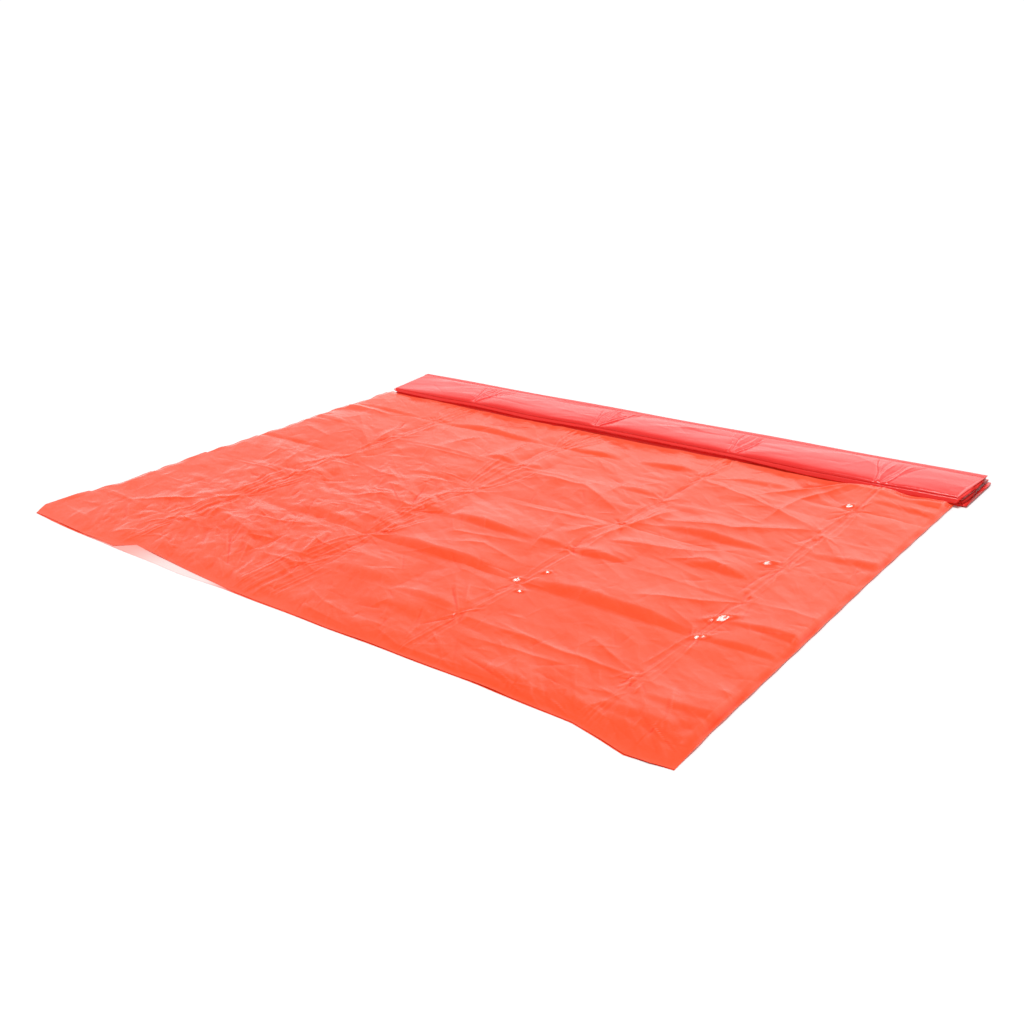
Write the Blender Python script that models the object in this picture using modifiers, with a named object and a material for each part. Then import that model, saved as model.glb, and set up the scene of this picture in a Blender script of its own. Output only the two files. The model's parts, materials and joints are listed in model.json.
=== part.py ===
"""Polythene survival bag, laid out with its foot end still folded up in a flat pack.

The bag is one blown tube of film: an upper and a lower wall, joined along both sides by the
tube's own folds, open at the mouth and welded across the foot. It was folded to and fro into
panels of one pitch, and its film bends at those creases. Seven panels lie open with air
between the walls. The eighth is pressed flat under the pack, and the others are stacked on it.

Frame: +X runs along the mouth, +Y from the mouth to the foot and +Z up. The origin is on the
ground, under the middle of the bag as it lies. Sizes are in metres.
"""
from math import cos, pi, sin

import bmesh
import bpy

# Driving dimensions.
BAG_WIDTH = 0.90            # width of the tube pressed flat
PANEL_PITCH = 0.09          # from one crease to the next
OPEN_PANELS = 7             # panels between the mouth and the pack
MOUTH_PANELS = 3            # panels of the upper wall that lift at the mouth
PACK_PANELS = 12            # panels stacked in the pack
WELD_BAND = 0.010           # fused strip across the foot
FILM = 0.0004               # thickness that stands in for the 0.1 mm film
GAP = 0.0003                # clearance between neighbouring pieces
STACKED_PANEL = 0.0006      # thickness of a panel in the stack
STACK_GAP = 0.0002          # clearance between stacked panels
AIR = 0.0050                # air between the walls where the bag lies open
FOLD_DEPTH = 0.0029         # how far a side fold bulges past the walls it joins
FOLD_STEPS = 8              # facets round a side fold
EDGE_ROUND = 0.00015        # rounding of a pressed panel's edges
EDGE_SEGMENTS = 2

# Places along the bag, from the mouth to the foot.
DEPTH = (OPEN_PANELS + 1) * PANEL_PITCH
Y_MOUTH = -DEPTH / 2
Y_MOUTH_HINGE = Y_MOUTH + MOUTH_PANELS * PANEL_PITCH
Y_PACK_NEAR = Y_MOUTH + OPEN_PANELS * PANEL_PITCH
Y_PACK_FAR = Y_PACK_NEAR + PANEL_PITCH
Y_SLOPE = Y_PACK_NEAR - PANEL_PITCH

# Heights: underside of the upper wall where it lies open and where it is pressed flat, its
# hinge at the mouth, and the stack.
Z_UPPER = FILM + AIR
Z_PRESSED = FILM + GAP
Z_MOUTH_HINGE = Z_UPPER + FILM / 2
TUCKED_PANEL = 2 * FILM + GAP
STACK_STEP = STACKED_PANEL + STACK_GAP

X_WALL = BAG_WIDTH / 2 - FOLD_DEPTH - GAP     # half width of the walls between the side folds
X_FOLD = BAG_WIDTH / 2 - FOLD_DEPTH           # where a side fold starts to curve

ORANGE = (0.90, 0.085, 0.030, 1.0)
ORANGE_DEEP = (0.78, 0.045, 0.030, 1.0)
ORANGE_FUSED = (0.70, 0.035, 0.018, 1.0)


def clear_scene():
    for obj in list(bpy.data.objects):
        bpy.data.objects.remove(obj, do_unlink=True)


def film_material(name, colour, roughness):
    material = bpy.data.materials.new(name)
    material.use_nodes = True
    shader = material.node_tree.nodes["Principled BSDF"]
    shader.inputs["Base Color"].default_value = colour
    shader.inputs["Roughness"].default_value = roughness
    shader.inputs["Metallic"].default_value = 0.0
    return material


def add_object(name, bm, collection, material, parent=None):
    """Turn a bmesh, drawn in its parent's frame, into a named object."""
    mesh = bpy.data.meshes.new(name)
    bmesh.ops.recalc_face_normals(bm, faces=bm.faces)
    bm.to_mesh(mesh)
    bm.free()
    mesh.materials.append(material)
    obj = bpy.data.objects.new(name, mesh)
    obj.parent = parent
    collection.objects.link(obj)
    return obj


def add_hinge(name, collection, location, parent=None):
    """An empty on a crease: the film beyond the crease turns about its X axis."""
    hinge = bpy.data.objects.new(name, None)
    hinge.location = location
    hinge.parent = parent
    collection.objects.link(hinge)
    return hinge


def thicken(obj):
    """Give an open film surface its thickness, on the side that its faces point to."""
    solidify = obj.modifiers.new("film_thickness", "SOLIDIFY")
    solidify.thickness = FILM
    solidify.offset = 1.0


def wall(name, near, far, collection, material, parent=None):
    """A flat piece of wall between two creases, given by (y, z) of its underside."""
    bm = bmesh.new()
    corners = ((-X_WALL, near), (X_WALL, near), (X_WALL, far), (-X_WALL, far))
    verts = [bm.verts.new((x, y, z)) for x, (y, z) in corners]
    bm.faces.new(verts)
    obj = add_object(name, bm, collection, material, parent)
    if obj.data.polygons[0].normal.z < 0:
        obj.data.flip_normals()
    thicken(obj)
    return obj


def side_fold(name, side, collection, material):
    """The tube's own fold along one side: a half round that flattens towards the pack."""
    bm = bmesh.new()
    stations = ((Y_MOUTH, AIR), (Y_SLOPE, AIR), (Y_PACK_NEAR - GAP / 2, GAP))
    rows = []
    for y, inner_height in stations:
        row = []
        for step in range(FOLD_STEPS + 1):
            angle = pi * step / FOLD_STEPS
            x = side * (X_FOLD + (FOLD_DEPTH - FILM) * sin(angle))
            z = FILM + inner_height / 2 * (1 - cos(angle))
            row.append(bm.verts.new((x, y, z)))
        rows.append(row)
    for near, far in zip(rows, rows[1:]):
        for step in range(FOLD_STEPS):
            face = (near[step], near[step + 1], far[step + 1], far[step])
            bm.faces.new(face if side < 0 else face[::-1])
    mesh = bpy.data.meshes.new(name)
    bm.to_mesh(mesh)
    bm.free()
    mesh.materials.append(material)
    mesh.shade_smooth()
    obj = bpy.data.objects.new(name, mesh)
    collection.objects.link(obj)
    thicken(obj)
    return obj


def box(low, high):
    """A bmesh cuboid between two corners."""
    bm = bmesh.new()
    bmesh.ops.create_cube(bm, size=1.0)
    size = [b - a for a, b in zip(low, high)]
    middle = [(a + b) / 2 for a, b in zip(low, high)]
    bmesh.ops.scale(bm, vec=size, verts=bm.verts)
    bmesh.ops.translate(bm, vec=middle, verts=bm.verts)
    return bm


def pressed_panel(name, y_ends, z_ends, collection, material, hinge=None):
    """One panel of the tube with its two walls pressed together."""
    low = (-BAG_WIDTH / 2, min(y_ends), z_ends[0])
    high = (BAG_WIDTH / 2, max(y_ends), z_ends[1])
    obj = add_object(name, box(low, high), collection, material, hinge)
    bevel = obj.modifiers.new("rounded_edges", "BEVEL")
    bevel.width = EDGE_ROUND
    bevel.segments = EDGE_SEGMENTS
    bevel.limit_method = "ANGLE"
    return obj


def build_open_part(collection, film):
    """The two walls and side folds that lie open, and the flap that lifts at the mouth."""
    wall("lower_wall", (Y_MOUTH, 0.0), (Y_PACK_NEAR - GAP / 2, 0.0), collection, film)
    wall("upper_wall", (Y_MOUTH_HINGE + GAP / 2, Z_UPPER), (Y_SLOPE - GAP / 2, Z_UPPER),
         collection, film)
    wall("upper_wall_slope", (Y_SLOPE + GAP / 2, Z_UPPER), (Y_PACK_NEAR - GAP / 2, Z_PRESSED),
         collection, film)
    side_fold("left_side_fold", -1, collection, film)
    side_fold("right_side_fold", 1, collection, film)
    hinge = add_hinge("mouth_hinge", collection, (0.0, Y_MOUTH_HINGE, Z_MOUTH_HINGE))
    wall("mouth_flap", (Y_MOUTH - Y_MOUTH_HINGE, -FILM / 2), (-GAP / 2, -FILM / 2),
         collection, film, hinge)


def build_pack(collection, film, fused):
    """The panels folded to and fro: odd ones turn on the far edge, even ones on the near."""
    pressed_panel("tucked_panel", (Y_PACK_NEAR + GAP / 2, Y_PACK_FAR - GAP / 2),
                  (0.0, TUCKED_PANEL), collection, film)
    hinge = None
    previous = (0.0, 0.0)
    for number in range(1, PACK_PANELS + 1):
        turns_on_far_edge = number % 2 == 1
        height = TUCKED_PANEL + STACK_GAP / 2 + (number - 1) * STACK_STEP
        place = (Y_PACK_FAR if turns_on_far_edge else Y_PACK_NEAR, height)
        location = (0.0, place[0] - previous[0], place[1] - previous[1])
        hinge = add_hinge(f"foot_hinge_{number:02d}", collection, location, hinge)
        away = -1 if turns_on_far_edge else 1
        free_end = PANEL_PITCH - GAP / 2
        if number == PACK_PANELS:
            free_end -= WELD_BAND + GAP
        y_ends = (away * GAP / 2, away * free_end)
        z_ends = (STACK_GAP / 2, STACK_GAP / 2 + STACKED_PANEL)
        pressed_panel(f"foot_panel_{number:02d}", y_ends, z_ends, collection, film, hinge)
        previous = place
    weld_low = (-BAG_WIDTH / 2, PANEL_PITCH - GAP / 2 - WELD_BAND, STACK_GAP)
    weld_high = (BAG_WIDTH / 2, PANEL_PITCH - GAP / 2, STACK_GAP + FILM)
    add_object("foot_weld", box(weld_low, weld_high), collection, fused, hinge)


def main():
    clear_scene()
    collection = bpy.data.collections.new("survival_bag")
    bpy.context.scene.collection.children.link(collection)
    open_film = film_material("open_film", ORANGE, 0.30)
    pack_film = film_material("pack_film", ORANGE_DEEP, 0.28)
    fused_film = film_material("fused_film", ORANGE_FUSED, 0.40)
    build_open_part(collection, open_film)
    build_pack(collection, pack_film, fused_film)


main()
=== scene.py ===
"""Looks of a polythene survival bag that lies open, with its foot end folded in a flat pack.

The film is modelled in the bag's own flat coordinates: u runs across from the left edge and v
from the mouth towards the foot, both in metres. A height function says how far the creased
film stands off the ground at (u, v), and the pieces of film are grids laid on it.
"""
import json
from math import pi, radians

import bpy
import numpy as np
from mathutils import Matrix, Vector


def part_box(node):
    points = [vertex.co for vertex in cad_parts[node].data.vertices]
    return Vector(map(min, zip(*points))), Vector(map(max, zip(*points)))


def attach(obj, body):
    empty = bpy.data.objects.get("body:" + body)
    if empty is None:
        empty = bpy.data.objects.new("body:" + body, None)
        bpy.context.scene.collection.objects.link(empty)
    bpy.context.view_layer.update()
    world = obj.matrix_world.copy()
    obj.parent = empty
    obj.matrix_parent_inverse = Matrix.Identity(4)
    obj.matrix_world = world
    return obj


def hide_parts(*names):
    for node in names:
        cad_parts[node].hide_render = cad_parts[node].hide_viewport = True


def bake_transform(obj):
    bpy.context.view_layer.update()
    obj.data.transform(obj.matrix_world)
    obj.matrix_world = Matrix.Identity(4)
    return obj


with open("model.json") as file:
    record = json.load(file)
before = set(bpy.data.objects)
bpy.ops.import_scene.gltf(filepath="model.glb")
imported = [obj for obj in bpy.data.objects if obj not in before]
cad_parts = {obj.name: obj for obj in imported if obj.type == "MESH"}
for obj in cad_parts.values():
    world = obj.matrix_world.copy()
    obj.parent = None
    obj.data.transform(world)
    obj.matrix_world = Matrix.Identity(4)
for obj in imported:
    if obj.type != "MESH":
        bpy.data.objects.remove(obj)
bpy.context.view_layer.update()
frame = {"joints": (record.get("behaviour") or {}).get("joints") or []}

# ---------------------------------------------------------------- sizes from the frame
MM = 0.001
JOINT = {joint["name"]: joint for joint in frame["joints"]}
TUCKED_LOW, TUCKED_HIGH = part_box("tucked_panel")
WELD_LOW, WELD_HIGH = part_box("foot_weld")
WIDTH = TUCKED_HIGH.x - TUCKED_LOW.x
X_LEFT = TUCKED_LOW.x
Y_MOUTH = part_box("lower_wall")[0].y
Y_FAR = JOINT["foot_unfold"]["pos_m"][1]
Y_NEAR = JOINT["foot_crease_02"]["pos_m"][1]
PITCH = Y_FAR - Y_NEAR
V_HINGE = JOINT["mouth_lift"]["pos_m"][1] - Y_MOUTH
V_PACK = Y_NEAR - Y_MOUTH
PACK_PANELS = 12
OPEN_PANELS = round(V_PACK / PITCH)

# ---------------------------------------------------------------- the creased film
CREASES_ALONG = (0.170, 0.395, 0.610, 0.810)     # u of the folds that run from mouth to foot
FILM_LIE = 3.6 * MM             # usual height of the upper film
FILM_FLOOR = 1.5 * MM           # the upper film never lies lower than this
LOWER_LIE = 0.5 * MM            # usual height of the lower film
EDGE_LIE = 2.3 * MM             # height of the upper film's side edges
MOUTH_EDGE = 0.6 * MM           # height of the upper film's front edge

# The film rises in a tapered shelf behind a crease: (v, from u, to u, height in mm, width in mm).
SHELVES = (
    (0.537, 0.01, 0.13, 1.8, 13), (0.537, 0.18, 0.37, 3.4, 17), (0.538, 0.40, 0.49, 2.6, 13),
    (0.546, 0.51, 0.60, 2.8, 15), (0.552, 0.64, 0.73, 2.4, 15),
    (0.510, -0.06, 0.07, 2.2, 20), (0.452, -0.08, 0.09, 2.2, 16), (0.358, -0.06, 0.13, 1.8, 12),
    (0.452, 0.33, 0.385, 2.4, 14), (0.452, 0.39, 0.43, 2.6, 14), (0.450, 0.54, 0.605, 2.4, 16),
    (0.358, 0.28, 0.37, 1.8, 12), (0.376, 0.645, 0.790, 3.6, 17), (0.308, 0.720, 0.795, 2.8, 16),
    (0.268, 0.165, 0.215, 2.2, 20), (0.266, 0.37, 0.43, 3.0, 16), (0.266, 0.420, 0.560, 4.2, 16),
    (0.268, 0.560, 0.603, 2.2, 12), (0.268, 0.606, 0.675, 3.6, 14), (0.180, 0.22, 0.37, 2.6, 20),
    (0.176, 0.395, 0.595, 4.4, 20), (0.175, 0.605, 0.805, 4.6, 24), (0.180, 0.81, 0.90, 1.6, 12),
    (0.094, 0.19, 0.31, 2.0, 18), (0.090, 0.415, 0.515, 3.0, 24), (0.089, 0.515, 0.615, 2.8, 16),
    (0.055, 0.49, 0.59, 1.6, 18), (0.592, 0.80, 1.02, 3.4, 14), (0.566, 0.81, 1.02, 2.8, 16),
    (0.397, 0.81, 1.02, 3.6, 20), (0.215, 0.81, 1.02, 3.2, 14), (0.064, 0.81, 0.97, 2.0, 14),
    (0.030, 0.79, 1.02, 3.0, 18), (0.180, 0.05, 0.14, 1.2, 14), (0.100, 0.08, 0.16, 1.8, 30),
    (0.385, 0.45, 0.60, 1.6, 36), (0.300, 0.630, 0.720, 1.8, 36), (0.000, 0.42, 0.62, 1.2, 10),
    (0.003, 0.60, 0.84, 1.6, 10), (0.430, 0.00, 0.06, 1.4, 18), (0.412, 0.20, 0.28, 1.4, 24),
)
SHELF_FALL = 38 * MM            # distance over which the film comes down again
CROSSING_FOLDS = 16             # short folds in the star where two creases cross
STRAY_FOLDS = 800
SWELLS = 9                      # long soft swells of air under the film
SWELL_HEIGHT = 0.32 * MM

# Layers of facets, coarse to fine: (weight, width, direction, stretch, how strongly they crowd).
FACET_LAYERS = (
    (0.12, 38 * MM, -0.75, 1.7, 1),
    (0.17, 15 * MM, -0.55, 2.2, 1),
    (0.18, 6 * MM, -0.80, 1.8, 2),
)
FACET_TABLE = 128               # facets repeat after this many
FACET_WARP = 5 * MM             # how far the lines between facets wander

# Small dimples that catch the light: (u, v, height in mm, half width in mm, how many times as
# long they are as wide).
DIMPLES = (
    (0.405, 0.200, 2.4, 2.8, 2.0), (0.603, 0.186, 3.0, 3.6, 1.8), (0.622, 0.166, 2.4, 2.8, 1.6),
    (0.620, 0.213, 2.6, 3.0, 1.6), (0.610, 0.365, 2.2, 2.6, 1.8), (0.815, 0.227, 4.0, 5.0, 3.0),
    (0.815, 0.186, 3.0, 3.6, 2.2), (0.795, 0.360, 3.0, 3.4, 2.6), (0.797, 0.550, 2.8, 3.4, 1.6),
)
DIMPLE_TURN = radians(40)       # the way they lie, from the line across the bag

# Half width in mm of the film gathered on each crease that runs along, by panel from the mouth.
GATHERED = (
    (13, 26, 34, 14, 16, 8, 34),
    (46, 22, 34, 24, 47, 12, 47),
    (13, 15, 13, 13, 17, 8, 20),
    (10, 16, 12, 13, 10, 14, 9),
)
FOLD_SPACING = 6.5 * MM         # between the folds of gathered film

# Places where the film lies calm: (u, v, radius in mm).
CALM = (
    (0.183, 0.012, 18), (0.146, 0.150, 14), (0.158, 0.175, 12), (0.845, 0.618, 26),
    (0.884, 0.045, 12), (0.805, 0.047, 9),
)

# Single folds of the film: (points along it, height in mm, half width in mm).
FOLD_STRENGTH = 1.2             # all of these heights are raised by this
FOLDS = (
    (((0.415, 0.440), (0.510, 0.435), (0.600, 0.385)), 2.6, 14),
    (((0.610, 0.537), (0.700, 0.507), (0.800, 0.466)), 2.6, 13),
    (((0.640, 0.400), (0.720, 0.415), (0.800, 0.466)), 3.0, 13),
    (((0.604, 0.285), (0.625, 0.380), (0.640, 0.440)), 2.2, 8),
    (((0.700, 0.532), (0.765, 0.600), (0.800, 0.618)), 4.2, 16),
    (((0.735, 0.450), (0.742, 0.540), (0.775, 0.605)), 1.6, 6),
    (((0.620, 0.315), (0.700, 0.335), (0.760, 0.372)), 1.8, 14),
    (((0.700, 0.310), (0.735, 0.332), (0.790, 0.315)), 1.8, 9),
    (((0.720, 0.215), (0.810, 0.262)), 1.5, 9),
    (((0.535, 0.345), (0.560, 0.280), (0.570, 0.245)), 1.5, 8),
    (((0.575, 0.305), (0.600, 0.355)), 1.4, 9),
    (((0.460, 0.348), (0.600, 0.352)), 1.0, 6),
    (((0.545, 0.425), (0.545, 0.480)), 1.0, 6),
    (((0.805, 0.462), (0.845, 0.412)), 1.8, 10),
    (((0.730, 0.130), (0.805, 0.094)), 1.2, 8),
    (((0.560, 0.142), (0.612, 0.086)), 1.3, 7),
    (((0.690, 0.028), (0.745, 0.010)), 1.0, 5),
    (((0.798, 0.015), (0.815, 0.065)), 1.5, 7),
    (((0.066, 0.090), (0.120, 0.128), (0.172, 0.176)), 1.5, 5),
    (((0.000, 0.096), (0.062, 0.092), (0.095, 0.085)), 0.8, 4),
    (((0.050, 0.262), (0.170, 0.261)), 0.8, 2.5),
    (((0.150, 0.135), (0.170, 0.175)), 1.4, 4),
    (((0.172, 0.170), (0.174, 0.100)), -1.6, 5),
    (((0.180, 0.172), (0.196, 0.104)), 1.5, 5),
    (((0.143, 0.290), (0.160, 0.345), (0.176, 0.270)), 1.4, 6),
    (((0.200, 0.128), (0.300, 0.100)), 1.4, 7),
    (((0.235, 0.138), (0.320, 0.160)), 0.9, 3.5),
    (((0.285, 0.256), (0.335, 0.290)), 1.3, 6),
    (((0.356, 0.160), (0.380, 0.094)), 1.7, 6),
    (((0.300, 0.312), (0.365, 0.264)), 1.2, 7),
    (((0.245, 0.358), (0.312, 0.318)), 1.2, 7),
    (((0.240, 0.560), (0.325, 0.592)), 0.9, 5),
    (((0.128, 0.502), (0.145, 0.470), (0.158, 0.410)), 1.5, 6),
    (((0.100, 0.452), (0.172, 0.400)), 1.3, 7),
    (((0.138, 0.612), (0.140, 0.575), (0.162, 0.556)), 1.0, 5),
    (((0.000, 0.036), (0.090, 0.026)), 0.8, 5),
    (((0.200, 0.441), (0.350, 0.438)), 0.8, 4),
    (((0.000, 0.531), (0.085, 0.528)), 0.9, 4),
    (((0.080, 0.350), (0.108, 0.325), (0.128, 0.275)), 1.0, 4),
    (((0.045, 0.350), (0.075, 0.320), (0.085, 0.280)), 0.9, 4),
    (((0.375, 0.100), (0.352, 0.160)), 1.5, 4),
    (((0.405, 0.165), (0.400, 0.105)), -1.6, 9),
    (((0.380, 0.525), (0.383, 0.465)), -1.6, 7),
    (((0.165, 0.530), (0.160, 0.465)), -1.5, 7),
    (((0.180, 0.540), (0.178, 0.450)), 1.0, 3),
    (((0.200, 0.415), (0.198, 0.385), (0.186, 0.368)), -1.2, 3),
    (((0.440, 0.380), (0.385, 0.330), (0.372, 0.285)), 1.0, 6),
    (((0.310, 0.345), (0.350, 0.355), (0.372, 0.360)), 0.8, 5),
    (((0.200, 0.352), (0.262, 0.335), (0.300, 0.330)), 1.1, 4),
    (((0.215, 0.395), (0.262, 0.360)), 1.0, 6),
    (((0.440, 0.270), (0.470, 0.240), (0.560, 0.262)), 1.2, 8),
    (((0.225, 0.085), (0.262, 0.048)), -1.3, 4),
    (((0.262, 0.090), (0.330, 0.032)), -1.4, 4),
    (((0.290, 0.098), (0.345, 0.030)), 1.1, 3),
    (((0.245, 0.098), (0.300, 0.055)), 1.0, 3),
    (((0.315, 0.070), (0.318, 0.125)), -1.3, 3),
    (((0.210, 0.050), (0.240, 0.020)), 0.9, 4),
    (((0.330, 0.078), (0.395, 0.080)), 1.0, 4),
    (((0.430, 0.055), (0.480, 0.035), (0.520, 0.030)), 1.0, 5),
    (((0.455, 0.020), (0.540, 0.012)), 0.9, 5),
    (((0.560, 0.025), (0.600, 0.012), (0.680, 0.016)), 1.4, 6),
    (((0.600, 0.022), (0.590, 0.050)), 1.0, 4),
    (((0.640, 0.060), (0.760, 0.072)), 0.9, 6),
    (((0.660, 0.030), (0.725, 0.012)), -1.4, 5),
    (((0.640, 0.100), (0.735, 0.088), (0.805, 0.092)), 0.8, 5),
    (((0.565, 0.130), (0.605, 0.092)), -1.6, 5),
    (((0.575, 0.145), (0.600, 0.110)), 1.2, 4),
    (((0.020, 0.055), (0.055, 0.060)), 0.8, 5),
    (((0.060, 0.080), (0.090, 0.040)), 0.7, 6),
    (((0.130, 0.512), (0.144, 0.482)), -2.2, 3),
    (((0.300, 0.310), (0.365, 0.262)), -1.2, 4),
    (((0.285, 0.292), (0.325, 0.288)), 1.1, 2.5),
    (((0.290, 0.280), (0.330, 0.276)), 1.1, 2.5),
    (((0.345, 0.325), (0.372, 0.270)), -1.8, 4),
    (((0.345, 0.545), (0.352, 0.470)), 1.6, 5),
    (((0.258, 0.475), (0.275, 0.520)), 1.4, 5),
    (((0.020, 0.420), (0.090, 0.400)), 1.0, 6),
    (((0.050, 0.500), (0.120, 0.440)), 1.1, 7),
    (((0.210, 0.620), (0.230, 0.570)), 1.0, 6),
    (((0.470, 0.205), (0.520, 0.232), (0.590, 0.215)), 1.1, 7),
)

# Front edges of the two films, as (u, v). The upper one is pulled back from u 0.18 to 0.37.
UPPER_FRONT = (
    (0.000, 0.003), (0.120, -0.001), (0.172, -0.001), (0.192, 0.016), (0.240, 0.011), (0.290, 0.008),
    (0.370, 0.003), (0.520, 0.005), (0.580, 0.007), (0.700, 0.010), (0.800, 0.009), (0.832, 0.003),
    (0.858, -0.003), (0.880, -0.002), (0.900, 0.002),
)
LOWER_FRONT = (
    (0.000, 0.002), (0.040, -0.001), (0.120, -0.003), (0.300, -0.003), (0.370, 0.001), (0.520, 0.004),
    (0.580, 0.006), (0.700, 0.009), (0.800, 0.008), (0.832, 0.002), (0.858, -0.004), (0.900, 0.001),
)
LIFTED = (0.175, 0.300)         # the upper film's front edge stands a little off the lower film
FRONT_LIFT = 0.5 * MM
NOTCH_U = 0.182                 # the step in the upper film's front edge
MOUTH_RISE = 30 * MM            # distance over which the upper film rises from its front edge
NOTCH_RISE = 20 * MM            # how much further that is at the step
NOTCH_WIDTH = 0.018             # distance to each side over which the step tells
MOUTH_RELIEF = 0.35             # share of the creases' height that is left at the front edge
FRONT_REACH = 0.06              # distance over which the film behind follows its front edge

# Side edges of the upper film, as (v, how far outside the bag's middle size), in mm.
LEFT_EDGE = (
    (0.000, -1), (0.022, 15), (0.057, 12), (0.134, 2), (0.190, 8), (0.283, 12), (0.330, 9),
    (0.371, 12), (0.419, 9), (0.463, 15), (0.569, 12), (0.630, 16),
)
RIGHT_EDGE = ((0.000, -2), (0.060, -5), (0.240, -8), (0.390, -11), (0.632, -12))

SIDE_FALL = 8 * MM              # distance over which the film comes down to a side edge
CORNER_FALL = 12 * MM           # how much further that is at the mouth's corners
EDGE_REACH = 45 * MM            # how far in the film follows its side edges

# The film stands in a low ridge against the foot of the pack near its right end.
RIDGE_U = 0.822
RIDGE_V = 0.606
RIDGE_REACH_U = 0.050
RIDGE_REACH_V = 0.040
RIDGE_HEIGHT = 8 * MM

UNDER_PACK = 2 * MM             # how far the upper film runs in under the pack
UNDER_PACK_LIE = 1.2 * MM       # and its height there
UNDER_PACK_FALL = 16 * MM       # distance over which it comes down to that

# The left middle of the film was handled most: where that is, and how far it reaches.
HANDLED_U = 0.25
HANDLED_V = 0.17
HANDLED_REACH_U = 0.17
HANDLED_REACH_V = 0.22


def smooth(x):
    x = np.clip(x, 0.0, 1.0)
    return x * x * (3 - 2 * x)


def window(x, start, end, fade):
    """1 between start and end, falling to 0 over the fade at either side."""
    return smooth((x - start + fade / 2) / fade) * smooth((end + fade / 2 - x) / fade)


def segment_distance(u, v, a, b):
    """Distance from each point to a segment, and how far along the segment it is, 0 to 1."""
    du, dv = b[0] - a[0], b[1] - a[1]
    along = ((u - a[0]) * du + (v - a[1]) * dv) / (du * du + dv * dv)
    clipped = np.clip(along, 0, 1)
    return np.hypot(u - a[0] - clipped * du, v - a[1] - clipped * dv), clipped


def fold(u, v, points, height, half_width):
    """A crisp fold along a polyline, with slopes that die away on both sides."""
    nearest = np.full(u.shape, 1e9)
    progress = np.zeros(u.shape)
    spans = len(points) - 1
    for i in range(spans):
        distance, along = segment_distance(u, v, points[i], points[i + 1])
        closer = distance < nearest
        nearest = np.where(closer, distance, nearest)
        progress = np.where(closer, (i + along) / spans, progress)
    taper = np.sin(pi * np.clip(progress, 0.02, 0.98)) ** 0.6
    return height * MM * taper * np.exp(-nearest / (half_width * MM))


def across_creases(u, v):
    """The creases that every panel has: mountain and valley folds in turn, worn unevenly."""
    z = np.zeros(u.shape)
    for k in range(1, OPEN_PANELS + 1):
        sign = 1 if k % 2 else -1
        strength = 0.55 + 0.35 * np.sin(9.0 * u + 2.1 * k) + 0.2 * np.sin(31.0 * u + 1.3 * k)
        z += sign * 0.9 * MM * strength * np.exp(-np.abs(v - k * PITCH) / (7 * MM))
    for shelf_v, start, end, height, width in SHELVES:
        inside = np.sin(pi * np.clip((u - start) / (end - start), 0, 1))
        taper = inside ** 0.9
        reach = (0.3 + 0.7 * inside ** 0.4) * width * MM
        wander = 1.5 * MM * np.sin(u / 0.019 + 60 * shelf_v)
        behind = v - shelf_v - wander
        rise = smooth(behind / reach) * np.exp(-np.maximum(behind - reach, 0) / SHELF_FALL)
        z += height * MM * taper * rise
    return z


def along_creases(u, v, random):
    """The folds from mouth to foot. On each crease the film is gathered in a sheaf of fine
    folds that draws together at every second crease across the bag."""
    z = np.zeros(u.shape)
    panels_up = v / PITCH
    from_knot = np.abs(panels_up - 2 * np.round(panels_up / 2))
    spread = np.where(panels_up < 1, 0.8, 0.28 + 0.72 * from_knot ** 0.6)
    for crease, half_widths in zip(CREASES_ALONG, GATHERED):
        off_crease = np.abs(u - crease)
        groove = np.exp(-off_crease / (5 * MM)) - 0.4 * np.exp(-off_crease / (16 * MM))
        z -= 0.6 * MM * groove
        for panel, half_width in enumerate(half_widths):
            t = panels_up - panel
            folds = max(round(2 * half_width * MM / FOLD_SPACING), 3)
            for i in range(folds):
                offset = half_width * MM * (2 * (i + random.uniform(0.2, 0.8)) / folds - 1)
                line = crease + offset * spread + random.normal(0, 1.5) * MM * np.sin(3 * t + i)
                low, high = random.uniform(-0.05, 0.30), random.uniform(0.70, 1.05)
                height = random.choice((1, 1, 1, -1)) * random.uniform(0.25, 0.85) * MM
                sharpness = random.uniform(1.2, 2.2) * MM
                near = (np.abs(u - line) < 10 * sharpness) & (t > -0.3) & (t < 1.3)
                ridge = np.exp(-np.abs(u[near] - line[near]) / sharpness)
                z[near] += height * window(t[near], low, high, 0.22) * ridge
    return z


def crossings(u, v, random):
    """Where two creases cross, the film is crumpled into a small star of short folds."""
    z = np.zeros(u.shape)
    for crease in CREASES_ALONG:
        for k in range(1, OPEN_PANELS + 1):
            centre = (crease + random.uniform(-5, 5) * MM, k * PITCH + random.uniform(-4, 4) * MM)
            for _ in range(CROSSING_FOLDS):
                along = random.random() < 0.6
                angle = random.normal(pi / 2, 0.4) if along else random.uniform(-pi / 2, pi / 2)
                side = random.choice((-1, 1))
                length = random.uniform(8, 46 if along else 26) * MM * side
                root = (centre[0] + random.normal(0, 4) * MM, centre[1] + random.normal(0, 4) * MM)
                tip = (root[0] + length * np.cos(angle), root[1] + length * np.sin(angle))
                height = random.choice((-1, 1)) * random.uniform(0.25, 0.90)
                near = (abs(u - centre[0]) < 0.07) & (abs(v - centre[1]) < 0.07)
                z[near] += fold(u[near], v[near], (root, tip), height, random.uniform(1.2, 2.8))
    return z


def crowding(u, v):
    """How crumpled the film is, 0 to 1: its left middle was handled most."""
    off_u = (u - HANDLED_U) / HANDLED_REACH_U
    off_v = (v - HANDLED_V) / HANDLED_REACH_V
    handled = np.exp(-off_u ** 4 - off_v ** 4)
    by_mouth = 0.35 * np.exp(-(v / 0.08) ** 2)
    return np.minimum(0.50 + 0.50 * handled + by_mouth, 1.0)


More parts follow.
